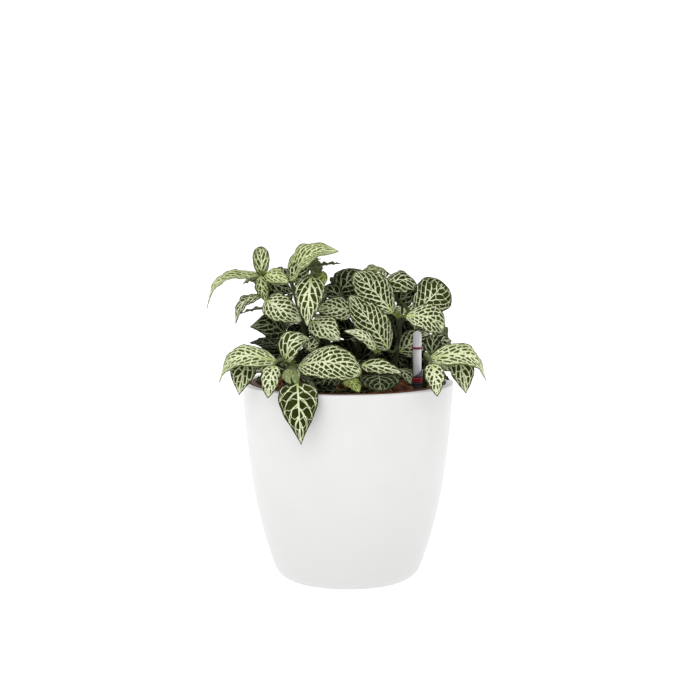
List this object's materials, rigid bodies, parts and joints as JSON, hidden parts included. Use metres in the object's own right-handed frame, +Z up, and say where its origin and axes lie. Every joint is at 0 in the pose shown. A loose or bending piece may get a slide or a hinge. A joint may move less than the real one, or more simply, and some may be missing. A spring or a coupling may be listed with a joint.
{
  "type": "potted nerve plant",
  "caption": "Nerve plant with netted leaves, growing in clay pebbles in an inner pot inside a plain white planter with a water-level indicator.",
  "frame": {"origin": "centre of the planter's foot, on the surface it stands on", "axes": "+Z up, the front of the plant looks along -Y, +X to the right seen from there"},
  "size_m": [0.183, 0.1574, 0.2243],
  "materials": {
    "planter_plastic": "white satin moulded plastic",
    "culture_pot_plastic": "reddish-brown matte plastic",
    "clay": "fired clay pebbles, dry and dusty",
    "indicator_black": "black matte plastic",
    "indicator_red": "red glossy plastic",
    "indicator_clear": "clear grey plastic",
    "indicator_float": "red float and needle",
    "foliage": "leaf green with cream veins, soft sheen"
  },
  "bodies": {
    "plant": {"planter": "planter_plastic", "culture_pot": "culture_pot_plastic", "granules": "clay", "indicator_housing": "indicator_black", "indicator_collar": "indicator_red", "indicator_tube": "indicator_clear", "indicator_mark": "indicator_red", "shoot_front_left": "foliage", "shoot_front_right": "foliage", "shoot_upper_left": "foliage", "shoot_upper_centre": "foliage", "shoot_top_centre": "foliage", "shoot_centre": "foliage", "shoot_right_centre": "foliage", "shoot_front_centre": "foliage", "shoot_back_left": "foliage", "shoot_back": "foliage", "shoot_back_right": "foliage"},
    "float": {"indicator_float": "indicator_float"}
  },
  "joints": [
    {"name": "float_rise", "type": "slide", "parent": "plant", "child": "float", "axis": [0, 0, 1], "range_m": [0, 0.022]}
  ]
}
